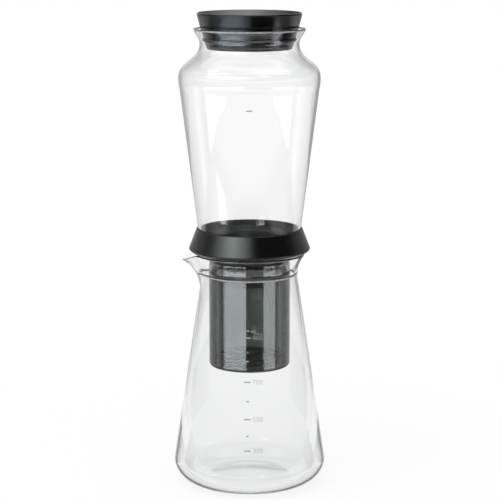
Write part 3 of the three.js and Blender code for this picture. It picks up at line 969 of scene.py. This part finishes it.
def build_scale():
    upper = [point for point in carafe_outline() if point.y >= CORNER_HEIGHT]
    on_glass = wrapped(upper)
    lines = bmesh.new()
    digits = bmesh.new()

    def tick(span, height, width=LINE_WIDTH):
        stroke(lines, level_line(span, height), width, on_glass)

    def write(text, start, low, height, advance):
        for k, symbol in enumerate(text):
            corner = at(start + advance * k, low)
            for points, closed in glyph(symbol):
                stroke(digits, [corner + point * height for point in points], STROKE_WIDTH, on_glass, closed)

    for hundred, height in HUNDREDS.items():
        numbered = hundred % 2 == 1
        tick(LONG_TICK if numbered else SHORT_TICK, height)
        if numbered:
            write(f"{hundred}00", NUMBER_START, height - DIGIT_HEIGHT / 2, DIGIT_HEIGHT, DIGIT_ADVANCE)
    top = HUNDREDS[9]
    tick(OVERLINE, top + OVERLINE_RISE, STROKE_WIDTH)
    tick(UNIT_TICK, top + UNIT_RISE)
    tick(EXTRA_DOT, EXTRA_DOT_HEIGHT)
    write("ml", UNIT_START, top + UNIT_RISE - UNIT_HEIGHT / 2, UNIT_HEIGHT, DIGIT_ADVANCE)
    piece("scale_lines", lines, "carafe", "clear_glass", ENAMEL)
    piece("scale_numbers", digits, "carafe", "clear_glass", ENAMEL)


def build_fill_line():
    outline = [point + at(0, BOWL_Z) for point in bowl_outline()[1:]]
    form = bmesh.new()
    stroke(form, level_line(FILL_LINE, FILL_LINE_HEIGHT), LINE_WIDTH, wrapped(outline))
    piece("fill_line", form, "bowl", "clear_glass", ENAMEL)


build_carafe()
build_bowl()
build_collar()
build_cup()
build_seal()
build_filter()
build_nozzle()
build_tray()
build_lid()
build_scale()
build_fill_line()


# Studio
# The floor and the world are white to rays that show them as such, and soft light to the rest. One lamp
# lights the surfaces. Walls, cards and dark parts of the floor stand in only for what the glass and the
# plastic mirror; the dark parts of the floor are painted shade, seen only in reflections.

AMBIENT = 0.75  # the world's light on surfaces
FLOOR_REACH = 0.35  # the floor is a disc that fades into the white backdrop
FLOOR_FADE_START = 0.12
FLOOR_STEP = 5
FLOOR_WHITE_SHARE = 0.88  # the rest of the floor's white is its lit surface, which carries the shadow
KEY_SIZE = (0.9, 0.6)
KEY_POWER = 4.5
KEY_PLACE = (-35, 0.6, 0.9)  # azimuth, distance from the axis, height
KEY_AIM = Vector((0, 0, 0.15))
SENSOR_WIDTH = 36  # in millimetres, as the focal length is
LENS = 128.25
CAMERA_PLACE = (0.00038, -1.33875, 0.43592)
CAMERA_TILT = 10.758  # degrees down from level

# The walls' shades: places round the axis in degrees, then for one or more heights a shade at each place
WALL_DISTANCE = 2.6
WALL_STEP = 4
WALL_PLACES = (-180, -150, -112, -100, -80, 10, 20, 80, 92, 112, 150, 180)
WALL_SHADES = (
    ((-3.2, -1.1), (0.4, 0.4, 0.2, 0.1, 0.02, 0.02, 0.01, 0.01, 0.01, 0.02, 0.1, 0.2)),
    ((-0.9,), (0.5, 0.5, 0.25, 0.25, 0.1, 0.1, 0.1, 0.1, 0.15, 0.15, 0.2, 0.3)),
    ((-0.86, -0.62), (0.5, 0.5, 0.25, 0.35, 0.8, 0.8, 0.8, 0.8, 0.4, 0.3, 0.2, 0.3)),
    ((-0.58, -0.27), (0.5, 0.8, 0.8, 1.6, 0.06, 0.06, 0.06, 0.6, 1.8, 0.9, 0.8, 0.4)),
    ((-0.24,), (0.5, 0.5, 0.5, 0.5, 0.5, 0.5, 0.5, 0.5, 0.4, 0.4, 0.4, 0.4)),
    ((-0.1, 0.42), (0.5, 0.5, 0.5, 0.3, 0.2, 0.2, 0.2, 0.2, 0.2, 0.4, 0.4, 0.4)),
    ((0.5,), (1, 0.55, 0.5, 0.6, 0.9, 0.9, 0.9, 0.9, 0.6, 0.4, 0.5, 1)),
    ((0.9,), (1, 0.5, 0.5, 0.6, 0.9, 0.9, 0.9, 0.9, 0.6, 0.4, 0.4, 1)),
    ((1.0,), (1, 0.3, 0.25, 0.2, 0.2, 0.1, 0.01, 0.01, 0.01, 0.02, 0.1, 1)),
    ((3.2,), (0.3, 0.3, 0.25, 0.2, 0.2, 0.1, 0.01, 0.01, 0.01, 0.02, 0.1, 0.3)),
    ((4.5,), (1, 1, 1, 1, 1, 0.6, 0.2, 0.2, 0.2, 0.6, 1, 1)),
)

# The strip of backdrop behind the object that the lid's top mirrors, from its right to its left
BEHIND_STEP = 0.5
BEHIND_PLACES = (172, 177, 178, 179, 180, 181, 182, 184, 188)
BEHIND_SHADES = (0.3, 0.02, 0.02, 0.14, 0.32, 0.24, 0.08, 0.05, 0.3)
BEHIND_HEIGHTS = (0.42, 0.75)

# Light cards before those walls: azimuths, heights, brightness, colour, soft edges in degrees and metres
CARD_DISTANCE = 2.5
CARD_STEP = 4
CARDS = {
    "cup_left": ((-82, -9), (-0.57, -0.27), 6.8, (0.92, 0.96, 1), (12, 1.5), 0.01),
    "cup_right": ((39, 78), (-0.57, -0.27), 5.0, (0.96, 1, 0.98), (1.5, 3), 0.01),
    "inside_left": ((-38, -14), (0.22, 0.39), 8, (0.9, 0.95, 1), (10, 10), 0.03),
    "inside_right": ((54, 78), (0.22, 0.39), 5, (0.9, 0.95, 1), (8, 8), 0.03),
    "flank": ((-94, 10), (0.95, 2.9), 7.4, (0.9, 1, 0.98), (52, 44), 0.7),
    "lid_left": ((-106, 8), (-2.5, -0.9), 3.4, (0.78, 0.89, 1), (34, 36), 0.1),
    "lid_right": ((58, 96), (-2.5, -0.9), 3.2, (0.95, 0.95, 1), (14, 14), 0.1),
}

# Painted shade on the floor, seen only in reflections: parts of the floor that the flared neck and the
# collar's cone mirror as dark: azimuths, then for each its least and greatest distance from the axis
DARK_SHADE = 0.02
DARK_HEIGHT = 0.001
DARK_STEP = 3
PAINTED_FLOOR_SHADE = {
    "dark_front": (
        (-104, -90, -70, -42, 0, 42, 70, 90, 104),
        (0.17, 0.15, 0.12, 0.088, 0.088, 0.088, 0.12, 0.15, 0.17),
        (0.24, 0.21, 0.175, 0.135, 0.115, 0.135, 0.175, 0.21, 0.24),
    ),
    "cone_left": ((-162, -108), (0.07, 0.07), (0.22, 0.22)),
    "cone_right": ((108, 162), (0.07, 0.07), (0.22, 0.22)),
    "dark_left": ((-106, -86), (0.2, 0.2), (0.42, 0.42)),
    "dark_right": ((86, 106), (0.2, 0.2), (0.42, 0.42)),
}

# The fewest and most surfaces of glass that a ray may have passed to see a sheet: 0 for what stands bare,
# up to 2 for a vessel's front, 2 to 4 for the collar's cone behind the neck, 4 or more inside a vessel
ANY_PASSES = (0, 99)
GLASS_PASSES = {
    "flank": (0, 0),
    "behind": (0, 0),
    "dark_front": (0, 2),
    "cone_left": (2, 4),
    "cone_right": (2, 4),
    "dark_left": (0, 2),
    "dark_right": (0, 2),
    "inside_left": (4, 99),
    "inside_right": (4, 99),
}


def maths(tree, operation, *values):
    """A Math node's result. Values are numbers or sockets."""
    made = tree.nodes.new("ShaderNodeMath")
    made.operation = operation
    for value, socket in zip(values, made.inputs):
        if isinstance(value, (int, float)):
            socket.default_value = value
        else:
            tree.links.new(value, socket)
    return made.outputs["Value"]


def seen_directly(tree):
    """1 for a ray that shows a surface or the backdrop as such, 0 for one that gathers soft light."""
    path = tree.nodes.new("ShaderNodeLightPath")
    seen = maths(tree, "MAXIMUM", path.outputs["Is Camera Ray"], path.outputs["Is Glossy Ray"])
    seen = maths(tree, "MAXIMUM", seen, path.outputs["Is Transmission Ray"])
    return maths(tree, "MULTIPLY", seen, maths(tree, "LESS_THAN", path.outputs["Diffuse Depth"], 0.5))


def seen_mirrored(tree, fewest, most):
    """1 for a ray that has been mirrored on its way and has passed this many surfaces of glass, else 0."""
    path = tree.nodes.new("ShaderNodeLightPath")
    mirrored = maths(tree, "GREATER_THAN", path.outputs["Glossy Depth"], 0.5)
    enough = maths(tree, "GREATER_THAN", path.outputs["Transmission Depth"], fewest - 0.5)
    few = maths(tree, "LESS_THAN", path.outputs["Transmission Depth"], most + 0.5)
    return maths(tree, "MULTIPLY", mirrored, maths(tree, "MULTIPLY", enough, few))


def stage_mesh(name, corners, faces, material):
    """A surface of the studio."""
    mesh = bpy.data.meshes.new(name)
    mesh.from_pydata(corners, [], faces)
    mesh.materials.append(material)
    made = added(name, mesh)
    return made


def from_axis(azimuth, distance, height):
    """A place seen from the object's axis. Azimuth 0 is towards the camera, and 90 is to its right."""
    angle = math.radians(azimuth)
    return Vector((distance * math.sin(angle), -distance * math.cos(angle), height))


def steps_between(start, end, step):
    """Evenly spaced values from start to end, no further apart than the step."""
    count = max(1, math.ceil((end - start) / step))
    return [start + (end - start) * i / count for i in range(count + 1)]


def between(places, values, place):
    """The value at a place, on the line between its two nearest known values."""
    for (low, near), (high, far) in zip(zip(places, values), zip(places[1:], values[1:])):
        if place <= high:
            return near + (far - near) * (place - low) / (high - low)
    return values[-1]


def build_world():
    """White for the camera, in reflections and through glass, and an even soft light otherwise."""
    world = bpy.data.worlds.new("studio")
    bpy.context.scene.world = world
    world.use_nodes = True
    tree = world.node_tree
    background = tree.nodes["Background"]
    background.inputs["Color"].default_value = (1, 1, 1, 1)
    light = maths(tree, "MULTIPLY_ADD", seen_directly(tree), 1 - AMBIENT, AMBIENT)
    tree.links.new(light, background.inputs["Strength"])


def build_floor():
    """A pale floor that is white where it is fully lit and keeps the object's soft shadow."""
    material = new_material("pale_floor", (1, 1, 1), roughness=0.9, Specular_IOR_Level=0)
    tree = material.node_tree
    white = node(material, "ShaderNodeEmission")
    reach = node(material, "ShaderNodeVectorMath")
    reach.operation = "LENGTH"
    tree.links.new(place_node(material), reach.inputs[0])
    fade = node(material, "ShaderNodeMapRange",
                From_Min=FLOOR_FADE_START, From_Max=FLOOR_REACH, To_Min=FLOOR_WHITE_SHARE)
    tree.links.new(reach.outputs["Value"], fade.inputs["Value"])
    pale = node(material, "ShaderNodeMixShader")
    tree.links.new(maths(tree, "MULTIPLY", seen_directly(tree), fade.outputs["Result"]), pale.inputs["Fac"])
    tree.links.new(shader_of(material).outputs["BSDF"], pale.inputs[1])
    tree.links.new(white.outputs["Emission"], pale.inputs[2])
    tree.links.new(pale.outputs["Shader"], tree.nodes["Material Output"].inputs["Surface"])
    rim = [from_axis(azimuth, FLOOR_REACH, 0) for azimuth in range(0, 360, FLOOR_STEP)]
    stage_mesh("floor", rim, [range(len(rim))], material)


def sheet_material(name, colour, see_through):
    """Light as strong as the mesh's glow says, seen only by mirrored rays. Other rays go through."""
    material = bpy.data.materials.new(name)
    material.use_nodes = True
    material.cycles.emission_sampling = "NONE"
    tree = material.node_tree
    tree.nodes.remove(tree.nodes["Principled BSDF"])
    light = tree.nodes.new("ShaderNodeEmission")
    light.inputs["Color"].default_value = (*colour, 1)
    glow = tree.nodes.new("ShaderNodeAttribute")
    glow.attribute_name = "glow"
    clear = tree.nodes.new("ShaderNodeBsdfTransparent")
    seen = seen_mirrored(tree, *GLASS_PASSES.get(name, ANY_PASSES))
    if see_through:
        strength = maths(tree, "MULTIPLY", glow.outputs["Fac"], seen)
        both = tree.nodes.new("ShaderNodeAddShader")
    else:
        strength = glow.outputs["Fac"]
        both = tree.nodes.new("ShaderNodeMixShader")
        tree.links.new(seen, both.inputs["Fac"])
    tree.links.new(strength, light.inputs["Strength"])
    tree.links.new(clear.outputs["BSDF"], both.inputs[-2])
    tree.links.new(light.outputs["Emission"], both.inputs[-1])
    tree.links.new(both.outputs["Shader"], tree.nodes["Material Output"].inputs["Surface"])
    return material


def sheet(name, rows, colour=(1, 1, 1), see_through=False):
    """A stage sheet from rows of places, each with its brightness. A see-through one adds its light to
    what is behind it."""
    count = len(rows[0])
    places = [place for row in rows for place, brightness in row]
    faces = []
    for i in range(len(rows) - 1):
        for k in range(count - 1):
            corner = i * count + k
            faces.append((corner, corner + 1, corner + count + 1, corner + count))
    made = stage_mesh(name, places, faces, sheet_material(name, colour, see_through))
    made.visible_camera = False
    made.visible_diffuse = False
    made.visible_shadow = False
    made.visible_volume_scatter = False
    glow = made.data.attributes.new("glow", "FLOAT", "POINT")
    glow.data.foreach_set("value", [brightness for row in rows for place, brightness in row])


def level_row(azimuths, distance, height, known, shades, strength=1):
    """One row of a sheet round the axis. Its brightness lies between those at known azimuths."""
    return [
        (from_axis(azimuth, distance, height), strength * between(known, shades, azimuth))
        for azimuth in azimuths
    ]


def build_walls():
    """The studio's walls. Only mirrored rays see them, so they never darken what shows through glass."""
    azimuths = steps_between(WALL_PLACES[0], WALL_PLACES[-1], WALL_STEP)
    sheet("wall", [
        level_row(azimuths, WALL_DISTANCE, height, WALL_PLACES, shades)
        for heights, shades in WALL_SHADES for height in heights
    ])


def build_painted_floor_shade():
    """Painted shade: the dark parts of the floor that only reflections show, each from its near edge to its
    far edge.
    """
    for name, (places, starts, ends) in PAINTED_FLOOR_SHADE.items():
        azimuths = steps_between(places[0], places[-1], DARK_STEP)
        rows = []
        for edge in (starts, ends):
            rows.append([
                (from_axis(azimuth, between(places, edge, azimuth), DARK_HEIGHT), DARK_SHADE)
                for azimuth in azimuths
            ])
        sheet(name, rows)


def build_strip_behind():
    """The strip of backdrop that the lid's top mirrors."""
    azimuths = steps_between(BEHIND_PLACES[0], BEHIND_PLACES[-1], BEHIND_STEP)
    sheet("behind", [
        level_row(azimuths, CARD_DISTANCE, height, BEHIND_PLACES, BEHIND_SHADES) for height in BEHIND_HEIGHTS
    ])


def build_cards():
    """Light cards before the walls, whose brightness fades along their edges."""
    rise = (0, 1, 1, 0)
    for name, (azimuths, heights, strength, colour, soft_sides, soft_ends) in CARDS.items():
        across = (azimuths[0], azimuths[0] + soft_sides[0], azimuths[1] - soft_sides[1], azimuths[1])
        up = (heights[0], heights[0] + soft_ends, heights[1] - soft_ends, heights[1])
        columns = [across[0]]
        for start, end in zip(across, across[1:]):
            columns += steps_between(start, end, CARD_STEP)[1:]
        rows = []
        for height in up:
            level = strength * between(up, rise, height)
            rows.append(level_row(columns, CARD_DISTANCE, height, across, rise, level))
        sheet(name, rows, colour, see_through=True)


def build_key():
    """One large soft lamp from the upper left, which lights surfaces and casts the soft shadow."""
    lamp = bpy.data.lights.new("key", "AREA")
    lamp.shape = "RECTANGLE"
    lamp.size, lamp.size_y = KEY_SIZE
    lamp.energy = KEY_POWER
    key = added("key", lamp)
    key.location = from_axis(*KEY_PLACE)
    key.rotation_euler = (KEY_AIM - key.location).to_track_quat("-Z", "Y").to_euler()
    key.visible_camera = False
    key.visible_glossy = False
    key.visible_transmission = False


def build_camera():
    """A long lens 1.34 m in front of the axis, looking slightly down, as in the photo."""
    lens = bpy.data.cameras.new("camera")
    lens.sensor_width = SENSOR_WIDTH
    lens.lens = LENS
    camera = added("camera", lens)
    camera.location = CAMERA_PLACE
    camera.rotation_euler = (math.radians(90 - CAMERA_TILT), 0, 0)
    bpy.context.scene.camera = camera


build_world()
build_floor()
build_walls()
build_painted_floor_shade()
build_strip_behind()
build_cards()
build_key()
build_camera()
bpy.context.scene.view_settings.view_transform = "Standard"
